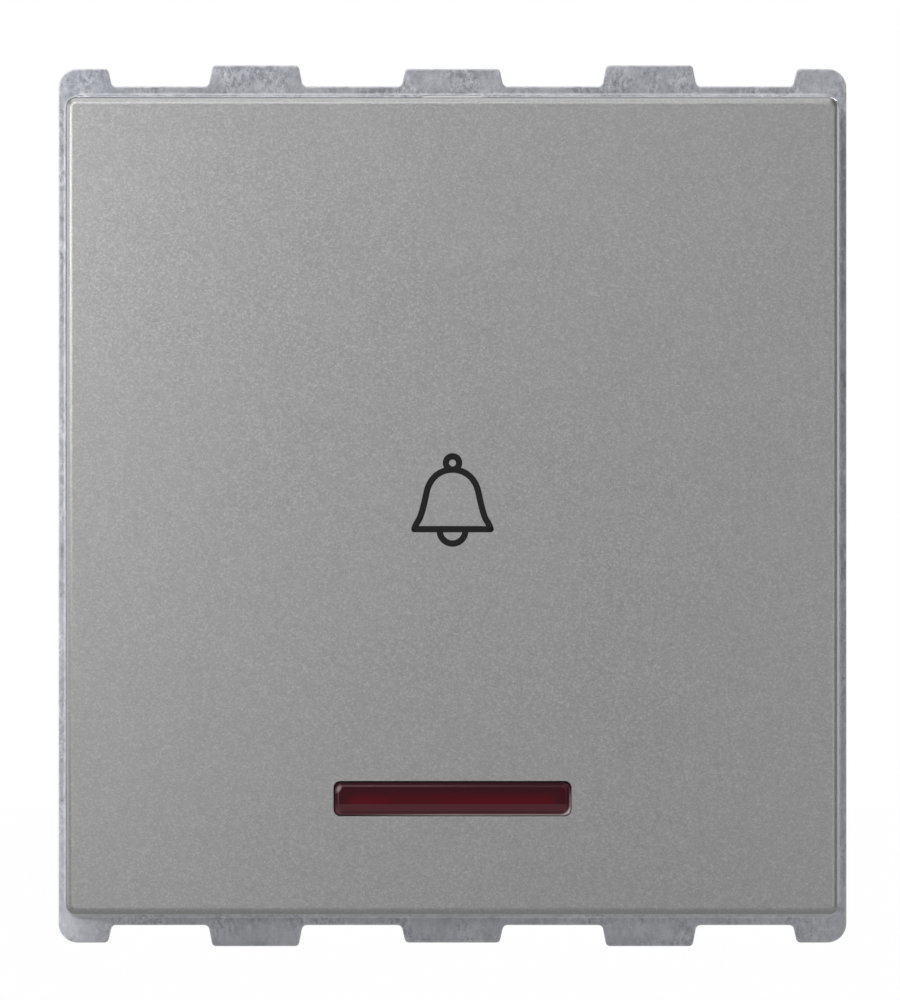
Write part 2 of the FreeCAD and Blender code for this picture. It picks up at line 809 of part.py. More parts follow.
def rear_housing():
    body = housing_outside().cut(housing_inside()).cut(cover_rebate())
    tower = rod_y(tower_bore_radius + tower_wall, (busbar_back_y, housing_depth - 1), 0.0, plunger_z)
    pieces = [body, tower] + both_sides(terminal_cell()) + both_sides(contact_pedestal())
    for guide in bridge_guides():
        pieces += both_sides(guide)
    pieces += barrier_rib() + side_ribs()
    pieces += [rod_y(screw_boss_radius, (cover_thickness, screw_boss_end), x, z) for x, z in screw_places()]
    pieces += [tongue_barb(1), tongue_barb(-1)]
    body = joined(pieces)
    cuts = both_sides(terminal_pocket()) + both_sides(wire_entry())
    cuts += tongue_slits(1) + tongue_slits(-1)
    cuts += [rod_y(tower_bore_radius, (busbar_back_y - 1, tower_floor_y), 0.0, plunger_z)]
    cuts += [rod_y(stem_radius + guide_play, (tower_floor_y - 1, stem_guide_end_y), 0.0, plunger_z)]
    pilot_y = (cover_thickness - 0.5, screw_boss_end - 1.0)
    cuts += [rod_y(screw_radius + thread_play, pilot_y, x, z) for x, z in screw_places()]
    label_y = (housing_depth - label_sink, housing_depth + 1)
    cuts += [plate(label_width, label_height, label_radius, label_y, 0.0, label_z)]
    for cutter in cuts:
        body = body.cut(cutter)
    return body.removeSplitter()


# Plunger group
def plunger():
    front_y = cover_thickness + seat_gap
    back_y = front_y + plunger_flange_thickness
    dome = Part.makeSphere(plunger_dome_radius, Vec(0, plunger_tip_y + plunger_dome_radius, plunger_z))
    nose = rod_y(plunger_radius, (plunger_tip_y, front_y + 0.2), 0.0, plunger_z).common(dome)
    flange = rod_y(plunger_flange_radius, (front_y, back_y), 0.0, plunger_z)
    spigot = rod_y(spigot_radius, (back_y - 0.2, back_y + spigot_height), 0.0, plunger_z)
    stem = rod_y(stem_radius, (back_y - 0.2, stem_end_y), 0.0, plunger_z)
    return joined([nose, flange, spigot, stem])


def contact_spring():
    start_y = cover_thickness + seat_gap + plunger_flange_thickness
    return coil_y(contact_spring_radius, contact_spring_turns, (start_y, bridge_front_y), plunger_z)


def return_spring():
    return coil_y(return_spring_radius, return_spring_turns, (washer_back_y, tower_floor_y), plunger_z)


def retaining_washer():
    ring = rod_y(washer_radius, (bridge_back_y, washer_back_y), 0.0, plunger_z)
    return ring.cut(rod_y(stem_radius + washer_bite, (bridge_back_y - 1, washer_back_y + 1), 0.0, plunger_z))


def contact_bridge():
    bar = plate(bridge_length, bridge_width, 1.0, (bridge_front_y, bridge_back_y), 0.0, plunger_z)
    return bar.cut(rod_y(stem_radius + guide_play, (bridge_front_y - 1, bridge_back_y + 1), 0.0, plunger_z))


def bridge_tips():
    tip = rod_y(tip_radius, (bridge_back_y, moving_tip_y), contact_x, plunger_z)
    return Part.makeCompound(both_sides(tip))


# Fixed contacts and terminals, built for the right-hand pole
def contact_tip():
    return rod_y(tip_radius, (fixed_tip_y, busbar_front_y), contact_x, plunger_z)


def busbar():
    y_span = (busbar_front_y, busbar_back_y)
    arm_top = plunger_z + busbar_arm_half
    arm = box((busbar_inner_x, busbar_outer_x), y_span, (plunger_z - busbar_arm_half, arm_top))
    leg = box((busbar_outer_x - busbar_leg_width, busbar_outer_x), y_span, (busbar_leg_end_z, arm_top))
    strip = joined([arm, leg])
    return strip.makeChamfer(busbar_corner, edges_along_y(strip))


def terminal():
    x_span = (terminal_x - terminal_size / 2, terminal_x + terminal_size / 2)
    block = box(x_span, (busbar_back_y, terminal_back_y), (terminal_bottom_z, terminal_top_z))
    block = block.makeChamfer(terminal_edge, block.Edges)
    z_span = (terminal_bottom_z - 1, terminal_top_z + 1)
    block = block.cut(rod_z(wire_radius, z_span, terminal_x, wire_y))
    thread_y = (wire_y, terminal_back_y + 1)
    return block.cut(rod_y(terminal_screw_radius + thread_play, thread_y, terminal_x, terminal_z))


def terminal_screw():
    tip_y = screw_tip_rest_y
    radius = terminal_screw_radius
    edge = terminal_screw_tip
    profile = [(0, tip_y), (radius - edge, tip_y), (radius, tip_y + edge), (radius, head_front_y)]
    profile += [(terminal_head_radius, head_front_y), (terminal_head_radius, head_back_y - edge)]
    profile += [(terminal_head_radius - edge, head_back_y), (0, head_back_y)]
    screw = revolved_y(profile, terminal_x, terminal_z)
    reach = terminal_head_radius + 1
    half = terminal_slot_width / 2
    slot_y = (head_back_y - terminal_slot_depth, head_back_y + 1)
    x_span = (terminal_x - reach, terminal_x + reach)
    return screw.cut(box(x_span, slot_y, (terminal_z - half, terminal_z + half)))


# Indicator board and its components
def indicator_board():
    return box(centred(board_width), (board_front_y, board_back_y), (board_low_z, board_high_z))


def indicator_led():
    base_y = board_front_y - led_flange_height
    profile = [(0, led_front_y), (led_radius - led_bevel, led_front_y), (led_radius, led_front_y + led_bevel)]
    profile += [(led_radius, base_y), (led_flange_radius, base_y)]
    profile += [(led_flange_radius, board_front_y), (0, board_front_y)]
    return revolved_y(profile, 0.0, light_window_z)


def wired_component(radius, length, x):
    axis_y = board_front_y - radius - component_lift
    half = length / 2
    body = rod_x(radius, (x - half, x + half), axis_y, component_z)
    reach = half + lead_reach
    thick = lead_thickness / 2
    lead_z = centred(lead_width, component_z)
    lead = box((x - reach, x + reach), (axis_y - thick, axis_y + thick), lead_z)
    pieces = [body, lead]
    for end in (x - reach + thick, x + reach - thick):
        pieces.append(box((end - thick, end + thick), (axis_y - thick, board_front_y), lead_z))
    return joined(pieces)


def board_pin():
    x_span = centred(board_pin_width, board_pin_x)
    return box(x_span, (board_back_y, busbar_front_y), centred(board_pin_width, terminal_z))


nodes = {
    "mounting_frame": mounting_frame(),
    "frame_screws": frame_screws(),
    "push_key": push_key(),
    "indicator_lens": indicator_lens(),
    "mechanism_cover": mechanism_cover(),
    "rear_housing": rear_housing(),
    "plunger": plunger(),
    "contact_spring": contact_spring(),
    "return_spring": return_spring(),
    "retaining_washer": retaining_washer(),
    "contact_bridge": contact_bridge(),
    "bridge_tips": bridge_tips(),
    "line_contact_tip": mirrored(contact_tip()),
    "bell_contact_tip": contact_tip(),
    "line_busbar": mirrored(busbar()),
    "bell_busbar": busbar(),
    "line_terminal": mirrored(terminal()),
    "bell_terminal": terminal(),
    "line_terminal_screw": mirrored(terminal_screw()),
    "bell_terminal_screw": terminal_screw(),
    "indicator_board": indicator_board(),
    "indicator_led": indicator_led(),
    "series_resistor": wired_component(resistor_radius, resistor_length, -component_x),
    "rectifier_diode": wired_component(diode_radius, diode_length, component_x),
    "line_board_pin": mirrored(board_pin()),
    "bell_board_pin": board_pin(),
}

os.makedirs("parts", exist_ok=True)
for name, shape in nodes.items():
    shape.exportStep("parts/" + name + ".step")
    print(name, round(shape.Volume, 2), "mm3", len(shape.Solids), "solid(s)")
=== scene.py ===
import bpy
import json
import math
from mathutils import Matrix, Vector


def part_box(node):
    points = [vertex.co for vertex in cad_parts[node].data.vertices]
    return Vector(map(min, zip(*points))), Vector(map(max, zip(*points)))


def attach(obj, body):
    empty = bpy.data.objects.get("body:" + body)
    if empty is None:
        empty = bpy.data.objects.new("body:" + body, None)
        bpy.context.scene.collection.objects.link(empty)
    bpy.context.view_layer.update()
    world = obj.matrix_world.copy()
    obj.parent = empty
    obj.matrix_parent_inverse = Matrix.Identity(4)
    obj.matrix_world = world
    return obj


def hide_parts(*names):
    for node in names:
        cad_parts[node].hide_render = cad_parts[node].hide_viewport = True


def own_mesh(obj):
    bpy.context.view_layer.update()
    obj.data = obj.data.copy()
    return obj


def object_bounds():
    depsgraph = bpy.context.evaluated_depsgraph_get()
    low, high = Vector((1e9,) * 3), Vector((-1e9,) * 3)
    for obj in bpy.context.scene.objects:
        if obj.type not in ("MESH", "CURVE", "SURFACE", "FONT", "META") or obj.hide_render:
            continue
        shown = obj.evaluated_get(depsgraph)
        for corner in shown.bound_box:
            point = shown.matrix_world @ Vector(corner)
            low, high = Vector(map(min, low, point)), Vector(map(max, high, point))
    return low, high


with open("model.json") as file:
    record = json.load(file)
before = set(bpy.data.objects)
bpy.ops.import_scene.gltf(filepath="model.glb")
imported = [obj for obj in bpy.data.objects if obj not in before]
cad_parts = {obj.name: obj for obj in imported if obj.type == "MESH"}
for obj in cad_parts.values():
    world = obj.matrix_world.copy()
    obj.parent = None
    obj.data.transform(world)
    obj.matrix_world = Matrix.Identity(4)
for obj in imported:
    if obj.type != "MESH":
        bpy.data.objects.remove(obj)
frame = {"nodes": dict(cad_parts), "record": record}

# Two-module bell push. Metres, X to the right, Y into the wall, Z up, as in the frame.
# A length is given in metres or times mm, and in plain millimetres where a note says so.
mm = 0.001
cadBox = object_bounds()
scene = bpy.context.scene
print("frame loaded with", len(frame["nodes"]), "nodes")


# Nodes of materials and of geometry trees
class Wire:
    # One output of a node, which adds, scales and compares as a number does
    def __init__(self, tree, socket=None):
        self.tree = tree
        self.socket = socket

    def node(self, kind, settings=None, values=None, out=0):
        made = self.tree.nodes.new(kind)
        for name, value in (settings or {}).items():
            setattr(made, name, value)
        for key, value in (values or {}).items():
            target = socketOf(made.inputs, key)
            if isinstance(value, Wire):
                self.tree.links.new(value.socket, target)
            else:
                target.default_value = value
        result = socketOf(made.outputs, out) if len(made.outputs) else None
        return Wire(self.tree, result)

    def math(self, operation, *values):
        return self.node("ShaderNodeMath", {"operation": operation}, dict(enumerate(values)))

    def __add__(self, other):
        return self.math("ADD", self, other)

    def __radd__(self, other):
        return self.math("ADD", other, self)

    def __sub__(self, other):
        return self.math("SUBTRACT", self, other)

    def __rsub__(self, other):
        return self.math("SUBTRACT", other, self)

    def __mul__(self, other):
        return self.math("MULTIPLY", self, other)

    def __rmul__(self, other):
        return self.math("MULTIPLY", other, self)

    def __truediv__(self, other):
        return self.math("DIVIDE", self, other)

    def __rtruediv__(self, other):
        return self.math("DIVIDE", other, self)

    def __pow__(self, other):
        return self.math("POWER", self, other)

    def __rpow__(self, other):
        return self.math("POWER", other, self)

    def size(self):
        return self.math("ABSOLUTE", self)

    def atLeast(self, least):
        return self.math("MAXIMUM", self, least)

    # Swings both ways about zero by half the amount, for a texture that runs from 0 to 1
    def swing(self, amount):
        return (self - 0.5) * amount

    # 0 below low, 1 above high, smooth between
    def rise(self, low, high):
        settings = {"interpolation_type": "SMOOTHSTEP"}
        return self.node("ShaderNodeMapRange", settings, {"Value": self, "From Min": low, "From Max": high})


def socketOf(sockets, key):
    if isinstance(key, int):
        return sockets[key]
    for socket in sockets:
        if socket.identifier == key:
            return socket
    return sockets[key]


def rgba(red, green, blue):
    return (red, green, blue, 1.0)


def newMaterial(name):
    material = bpy.data.materials.new(name)
    material.use_nodes = True
    material.node_tree.nodes.clear()
    return material, Wire(material.node_tree)


def finishMaterial(wire, values):
    shader = wire.node("ShaderNodeBsdfPrincipled", {}, values)
    wire.node("ShaderNodeOutputMaterial", {}, {"Surface": shader})


def objectPlace(wire):
    return wire.node("ShaderNodeTexCoord", out="Object")


def along(wire, place, axis):
    return wire.node("ShaderNodeSeparateXYZ", {}, {"Vector": place}, axis)


def stretched(wire, place, scale):
    return wire.node("ShaderNodeMapping", {}, {"Vector": place, "Scale": scale})


def noise(wire, place, size, detail=2.0, roughness=0.5):
    values = {"Vector": place, "Scale": 1 / size, "Detail": detail, "Roughness": roughness}
    return wire.node("ShaderNodeTexNoise", {}, values)


def cells(wire, place, size, out="Distance"):
    return wire.node("ShaderNodeTexVoronoi", {}, {"Vector": place, "Scale": 1 / size}, out)


def blended(wire, factor, first, second):
    settings = {"data_type": "RGBA", "blend_type": "MIX"}
    values = {"Factor_Float": factor, "A_Color": first, "B_Color": second}
    return wire.node("ShaderNodeMix", settings, values, "Result_Color")


def bumped(wire, height, distance, strength, normal=None):
    values = {"Height": height, "Distance": distance, "Strength": strength}
    if normal:
        values["Normal"] = normal
    return wire.node("ShaderNodeBump", {}, values)


def roundedNormal(wire, radius):
    return wire.node("ShaderNodeBevel", {"samples": 6}, {"Radius": radius})


# 1 near an edge of the surface, 0 on the flat
def edgeMask(wire, radius, low, high):
    soft = roundedNormal(wire, radius)
    flat = wire.node("ShaderNodeNewGeometry", out="Normal")
    dot = wire.node("ShaderNodeVectorMath", {"operation": "DOT_PRODUCT"}, {0: soft, 1: flat}, "Value")
    return (1 - dot).rise(low, high)


# Frame: die-cast zinc with fine pits, clouds of oxide, edges paler partly from wear and partly as a painted
# highlight, and a painted light slope
zinc = {
    "dark": rgba(0.256, 0.268, 0.300),
    "light": rgba(0.710, 0.722, 0.762),
    # The edge colour is partly wear and partly a painted highlight on the rounded edges
    "edge": rgba(0.900, 0.905, 0.915),
    "pit": rgba(0.120, 0.132, 0.160),
    "grainSize": 0.10 * mm,
    "cloudSize": 1.1 * mm,
    "flowSize": 0.26 * mm,
    "flowTurn": (0.0, 0.9, 0.0),
    "flowStretch": (1.0, 1.0, 0.6),
    "pitSize": 0.17 * mm,
    "pitRange": (0.66, 0.92),
    "pitStrength": 0.5,
    "patchSize": 2.0 * mm,
    "patchRange": (0.38, 0.62),
    "cloudSwing": 0.9,
    "grainSwing": 0.6,
    "flowSwing": 0.7,
    "patchSwing": 1.7,
    "edgeRadius": 0.18 * mm,
    "edgeRange": (0.01, 0.12),
    "wearAndSheenRange": (0.25, 0.55),
    "wearAndHighlightStrength": 0.8,
    # The next two set a painted light slope across the frame: darker towards the top and left, lighter
    # towards the bottom and right
    "paintedLightHeight": 125 * mm,
    "paintedLightWidth": 250 * mm,
    "metallic": 0.2,
    "roughness": 0.42,
    "relief": 0.02 * mm,
}


def castZinc():
    material, wire = newMaterial("castZinc")
    place = objectPlace(wire)
    grain = noise(wire, place, zinc["grainSize"], 3.0, 0.6)
    cloud = noise(wire, place, zinc["cloudSize"], 3.0, 0.55)
    leaning = {"Vector": place, "Rotation": zinc["flowTurn"], "Scale": zinc["flowStretch"]}
    flow = noise(wire, wire.node("ShaderNodeMapping", {}, leaning), zinc["flowSize"], 4.0, 0.7)
    patch = noise(wire, place, zinc["patchSize"], 1.0).rise(*zinc["patchRange"])
    pits = (1 - cells(wire, place, zinc["pitSize"])).rise(*zinc["pitRange"]) * patch
    # Painted light slope: the colour is darker towards the top and left and lighter towards the bottom and
    # right
    paintedLightSlope = along(wire, place, "Z") / zinc["paintedLightHeight"] - along(wire, place, "X") / zinc["paintedLightWidth"]
    tone = 0.5 - paintedLightSlope + cloud.swing(zinc["cloudSwing"]) + grain.swing(zinc["grainSwing"])
    tone = tone + flow.swing(zinc["flowSwing"] + patch * zinc["patchSwing"])
    colour = blended(wire, tone, zinc["dark"], zinc["light"])
    colour = blended(wire, pits * zinc["pitStrength"], colour, zinc["pit"])
    # Paler edges: partly wear from tumbling, partly a painted highlight
    edge = edgeMask(wire, zinc["edgeRadius"], *zinc["edgeRange"])
    wearAndSheenPatch = noise(wire, place, zinc["cloudSize"] * 0.5).rise(*zinc["wearAndSheenRange"])
    worn = edge * (0.45 + wearAndSheenPatch * 0.55)
    colour = blended(wire, worn * zinc["wearAndHighlightStrength"], colour, zinc["edge"])
    height = grain * 0.35 + flow * 0.6 * patch - pits
    finishMaterial(wire, {
        "Base Color": colour,
        "Metallic": zinc["metallic"],
        "Roughness": zinc["roughness"] + cloud.swing(0.25) + pits * 0.3 - worn * 0.1,
        "Normal": bumped(wire, height, zinc["relief"], 0.8, roundedNormal(wire, zinc["edgeRadius"])),
    })
    return material


# Key: silver paint with a fine metallic speckle
paint = {
    "base": rgba(0.340, 0.338, 0.338),
    "spark": rgba(0.515, 0.512, 0.510),
    "shade": rgba(0.252, 0.252, 0.255),
    "flakeSize": 0.075 * mm,
    "flakeStrength": 0.32,
    "sparkRange": (0.55, 1.0),
    "shadeRange": (0.6, 1.0),
    "mottleSize": 0.24 * mm,
    "mottleSwing": 0.35,
    "cloudSize": 6.0 * mm,
    "cloudSwing": 0.2,
    "metallic": 0.85,
    "roughness": 0.43,
    "relief": 0.004 * mm,
    "coat": 0.08,
    "coatRoughness": 0.35,
}


def silverPaint():
    material, wire = newMaterial("silverPaint")
    place = objectPlace(wire)
    flakeTint = cells(wire, place, paint["flakeSize"], "Color")
    flake = wire.node("ShaderNodeSeparateColor", {}, {"Color": flakeTint})
    mottle = noise(wire, place, paint["mottleSize"], 2.0, 0.6)
    cloud = noise(wire, place, paint["cloudSize"], 1.0)
    bright = flake.rise(*paint["sparkRange"]) * paint["flakeStrength"] + mottle.swing(paint["mottleSwing"])
    dull = (1 - flake).rise(*paint["shadeRange"]) * paint["flakeStrength"] + cloud.swing(paint["cloudSwing"])
    colour = blended(wire, bright, paint["base"], paint["spark"])
    colour = blended(wire, dull, colour, paint["shade"])
    finishMaterial(wire, {
        "Base Color": colour,
        "Metallic": paint["metallic"],
        "Roughness": paint["roughness"] + flake.swing(0.10) + mottle.swing(0.08),
        "Normal": bumped(wire, flake * 0.5 + mottle, paint["relief"], 0.7),
        "Coat Weight": paint["coat"],
        "Coat Roughness": paint["coatRoughness"],
    })
    return material


# Lens: clear dark red moulding, painted as bands one above the other inside a bevelled rim: a dark painted
# reflection at the top, painted lit red with painted glow in the middle, a pale painted reflection low down,
# painted shade at both ends, and painted highlights on the bevel.
# paintedReflectionEdgeRange, litRange and rimRange are places up its face: 1 at the top edge, -1 at the bottom edge.
lens = {
    # rim and its lower colour: painted reflection on the bevel, paler towards the bottom
    "rim": rgba(0.100, 0.046, 0.054),
    "rimLowReflection": rgba(0.205, 0.084, 0.106),
    # lip: a painted highlight on the outer edge at the lower right
    "lipHighlight": rgba(0.90, 0.79, 0.79),
    # line: a painted highlight along the inner edge of the bevel
    "line": rgba(0.150, 0.062, 0.074),
    "gleam": rgba(0.29, 0.22, 0.23),
    # low: a pale painted reflection in the band along the bottom of the face
    "low": rgba(0.080, 0.023, 0.029),
    # deep and glow: the red of the middle band under painted light, with painted glow; top: a dark painted
    # reflection above it
    "deep": rgba(0.068, 0.0065, 0.010),
    "top": rgba(0.044, 0.0078, 0.012),
    "glow": rgba(0.112, 0.0070, 0.012),
    "faceWidth": 13.43 * mm,
    "faceHeight": 1.90 * mm,
    "corner": 0.60 * mm,
    "bevel": 0.22 * mm,
    "lipHighlightWidth": 0.10 * mm,
    "highlightLineWidth": 0.07 * mm,
    "endShade": (0.40 * mm, 1.30 * mm),
    # Where the pale painted reflection at the bottom ends
    "paintedReflectionEdgeRange": (-0.37, -0.29),
    "litRange": (-0.10, 0.50),
    "rimRange": (-0.9, 0.0),
    "gleamPlace": (-6.49 * mm, 0.54 * mm),
    "gleamLean": math.radians(57),
    "gleamLength": 0.28 * mm,
    "gleamWidth": 0.15 * mm,
    "gleamRange": (0.25, 1.25),
    "waveSize": 1.6 * mm,
    "waveStretch": (0.3, 1.0, 1.0),
    "glowRange": (0.42, 0.62),
    "glowStrength": 0.5,
    "edgeRadius": 0.10 * mm,
    "roughness": 0.14,
    "specular": 0.1,
    "coat": 0.02,
    "lineCoat": 0.5,
    "coatRoughness": 0.16,
    "relief": 0.01 * mm,
}


# Place across and up from the middle of the lens, and the distance from its rounded outline
def lensPlaces(wire, place):
    low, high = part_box("indicator_lens")
    across = along(wire, place, "X") - (low.x + high.x) / 2
    up = along(wire, place, "Z") - (low.z + high.z) / 2
    side = lens["faceWidth"] / 2 - across.size()
    end = lens["faceHeight"] / 2 - up.size()
    sideOver = (lens["corner"] - side).atLeast(0.0)
    endOver = (lens["corner"] - end).atLeast(0.0)
    inset = lens["corner"] - (sideOver * sideOver + endOver * endOver) ** 0.5
    return across, up, side, inset


# Light caught in the upper left corner of the bevel
def cornerGleam(across, up):
    offX = across - lens["gleamPlace"][0]
    offZ = up - lens["gleamPlace"][1]
    lean = (math.cos(lens["gleamLean"]), math.sin(lens["gleamLean"]))
    length = (offX * lean[0] + offZ * lean[1]) / lens["gleamLength"]
    width = (offZ * lean[0] - offX * lean[1]) / lens["gleamWidth"]
    return 1 - ((length * length + width * width) ** 0.5).rise(*lens["gleamRange"])


def redLens():
    material, wire = newMaterial("redLens")
    place = objectPlace(wire)
    across, up, side, inset = lensPlaces(wire, place)
    level = up / (lens["faceHeight"] / 2)
    upperLeft = level * 0.6 - across / lens["faceWidth"]
    wave = noise(wire, stretched(wire, place, lens["waveStretch"]), lens["waveSize"], 2.0)
    # Painted bands: a pale reflection low down, lit red in the middle, a dark reflection at the top, and
    # shade at both ends
    above = level.rise(*lens["paintedReflectionEdgeRange"])
    lit = (1 - (level + wave.swing(0.5)).rise(*lens["litRange"])) * side.rise(*lens["endShade"])
    red = blended(wire, wave.rise(*lens["glowRange"]) * lens["glowStrength"], lens["deep"], lens["glow"])
    colour = blended(wire, above, lens["low"], blended(wire, lit, lens["top"], red))
    # Painted reflection on the bevel, paler towards the bottom
    rim = blended(wire, level.rise(*lens["rimRange"]), lens["rimLowReflection"], lens["rim"])
    colour = blended(wire, 1 - inset.rise(0.0, lens["bevel"]), colour, rim)
    # Painted highlight along the inner edge of the bevel, strongest at the top and left
    line = 1 - (inset - lens["bevel"]).size().rise(0.0, lens["highlightLineWidth"])
    line = line * (0.25 + upperLeft.rise(0.0, 0.9) * 0.75)
    colour = blended(wire, line, colour, lens["line"])
    # Painted highlight on the outer edge towards the lower right
    lipHighlight = (1 - inset.rise(0.0, lens["lipHighlightWidth"])) * (0 - upperLeft).rise(0.1, 0.6)
    colour = blended(wire, lipHighlight, colour, lens["lipHighlight"])
    rounded = roundedNormal(wire, lens["edgeRadius"])
    finishMaterial(wire, {
        "Base Color": blended(wire, cornerGleam(across, up), colour, lens["gleam"]),
        "Roughness": lens["roughness"] + wave.swing(0.04),
        "Specular IOR Level": lens["specular"],
        "Coat Weight": lens["coat"] + line * lens["lineCoat"],
        "Coat Roughness": lens["coatRoughness"],
        "Normal": bumped(wire, wave, lens["relief"], 0.2, rounded),
    })
    return material


# Moulded plastics, with the fine texture of an eroded mould
moulding = {
    "cloudSize": 4.0 * mm,
    "cloudSwing": 0.8,
    "grainSwing": 0.5,
    "relief": 0.01 * mm,
    "shade": 0.86,
    "pale": 1.12,
    "paleEdgeRadius": 0.12 * mm,
    "paleEdgeRange": (0.004, 0.05),
    "edgeRadius": 0.1 * mm,
}


def mouldedPlastic(name, colour, grainSize, roughness):
    material, wire = newMaterial(name)
    place = objectPlace(wire)
    grain = noise(wire, place, grainSize, 3.0, 0.6)
    cloud = noise(wire, place, moulding["cloudSize"])
    # Edges drawn paler in colour
    edge = edgeMask(wire, moulding["paleEdgeRadius"], *moulding["paleEdgeRange"])
    shade = rgba(*[c * moulding["shade"] for c in colour])
    pale = rgba(*[min(1.0, c * moulding["pale"] + 0.01) for c in colour])
    tone = 0.5 + cloud.swing(moulding["cloudSwing"]) + grain.swing(moulding["grainSwing"])
    body = blended(wire, tone, shade, rgba(*colour))
    rounded = roundedNormal(wire, moulding["edgeRadius"])
    finishMaterial(wire, {
        "Base Color": blended(wire, edge * 0.5, body, pale),
        "Roughness": roughness + grain.swing(0.16),
        "Normal": bumped(wire, grain, moulding["relief"], 0.7, rounded),
    })
    return material


# Metals that were drawn, stamped, turned or plated, with lines along one axis
metalwork = {
    "lineSize": 0.08 * mm,
    "lineSwing": 0.6,
    "cloudSize": 1.8 * mm,
    "cloudSwing": 0.7,
    "clean": 0.72,
    "tarnish": 0.62,
    "metallic": 0.9,
    "relief": 0.004 * mm,
    "edgeRadius": 0.08 * mm,
}


def workedMetal(name, colour, lines, roughness):
    material, wire = newMaterial(name)
    place = objectPlace(wire)
    brushed = noise(wire, stretched(wire, place, lines), metalwork["lineSize"], 3.0, 0.6)
    cloud = noise(wire, place, metalwork["cloudSize"], 3.0, 0.55)
    tarnish = rgba(*[c * metalwork["tarnish"] for c in colour])
    tone = metalwork["clean"] + brushed.swing(metalwork["lineSwing"]) + cloud.swing(metalwork["cloudSwing"])
    rounded = roundedNormal(wire, metalwork["edgeRadius"])
    finishMaterial(wire, {
        "Base Color": blended(wire, tone, tarnish, rgba(*colour)),
        "Metallic": metalwork["metallic"],
        "Roughness": roughness + cloud.swing(0.2) + brushed.swing(0.1),
        "Normal": bumped(wire, brushed, metalwork["relief"], 0.6, rounded),
    })
    return material


# Circuit board: green laminate with a woven glass cloth under the lacquer
board = {
    "thread": rgba(0.030, 0.115, 0.045),
    "gap": rgba(0.055, 0.180, 0.075),
    "weaveSize": 2.4 * mm,
    "roughness": 0.30,
    "relief": 0.01 * mm,
}


def boardLaminate():
    material, wire = newMaterial("boardLaminate")
    weave = {"Vector": objectPlace(wire), "Scale": 1 / board["weaveSize"]}
    warp = wire.node("ShaderNodeTexWave", {"bands_direction": "X"}, weave)
    weft = wire.node("ShaderNodeTexWave", {"bands_direction": "Z"}, weave)
    cloth = warp * 0.5 + weft * 0.5
    finishMaterial(wire, {
        "Base Color": blended(wire, cloth, board["thread"], board["gap"]),
        "Roughness": board["roughness"] + cloth * 0.1,
        "Normal": bumped(wire, cloth, board["relief"], 0.5),
    })
    return material


# Lamp: tinted resin with a swirl in it
lamp = {
    "dark": rgba(0.42, 0.02, 0.015),
    "light": rgba(0.70, 0.06, 0.035),
    "swirlSize": 0.8 * mm,
    "swirlRange": (0.3, 0.7),
    "roughness": 0.12,
    "coat": 0.5,
    "refraction": 1.5,
}


def lampResin():
    material, wire = newMaterial("lampRed")
    swirl = noise(wire, objectPlace(wire), lamp["swirlSize"], 2.0)
    finishMaterial(wire, {
        "Base Color": blended(wire, swirl.rise(*lamp["swirlRange"]), lamp["dark"], lamp["light"]),
        "Roughness": lamp["roughness"] + swirl.swing(0.06),
        "Coat Weight": lamp["coat"],
        "IOR": lamp["refraction"],
    })
    return material


# Resistor and diode: lacquered bodies, with a ring painted round one end
lacquer = {
    "ringHalfWidth": (0.30 * mm, 0.36 * mm),
    "speckSize": 0.3 * mm,
    "speckSwing": 0.8,
    "shade": 0.8,
    "relief": 0.01 * mm,
}


def lacquered(name, colour, ringColour, ringPlace, roughness):
    material, wire = newMaterial(name)
    place = objectPlace(wire)
    painted = 1 - (along(wire, place, "X") - ringPlace).size().rise(*lacquer["ringHalfWidth"])
    speck = noise(wire, place, lacquer["speckSize"], 3.0)
    shade = rgba(*[c * lacquer["shade"] for c in colour])
    body = blended(wire, 0.6 + speck.swing(lacquer["speckSwing"]), shade, rgba(*colour))
    finishMaterial(wire, {
        "Base Color": blended(wire, painted, body, ringColour),
        "Roughness": roughness + speck.swing(0.1),
        "Normal": bumped(wire, speck, lacquer["relief"], 0.4),
    })
    return material


# Printed sign: matt black ink
ink = {
    "dark": rgba(0.007, 0.007, 0.008),
    "light": rgba(0.014, 0.014, 0.015),
    "grainSize": 0.09 * mm,
    "roughness": 0.6,
    "specular": 0.15,
}


def signInk():
    material, wire = newMaterial("signInk")
    grain = noise(wire, objectPlace(wire), ink["grainSize"], 2.0)
    finishMaterial(wire, {
        "Base Color": blended(wire, grain, ink["dark"], ink["light"]),
        "Roughness": ink["roughness"] + grain.swing(0.1),
        "Specular IOR Level": ink["specular"],
    })
    return material


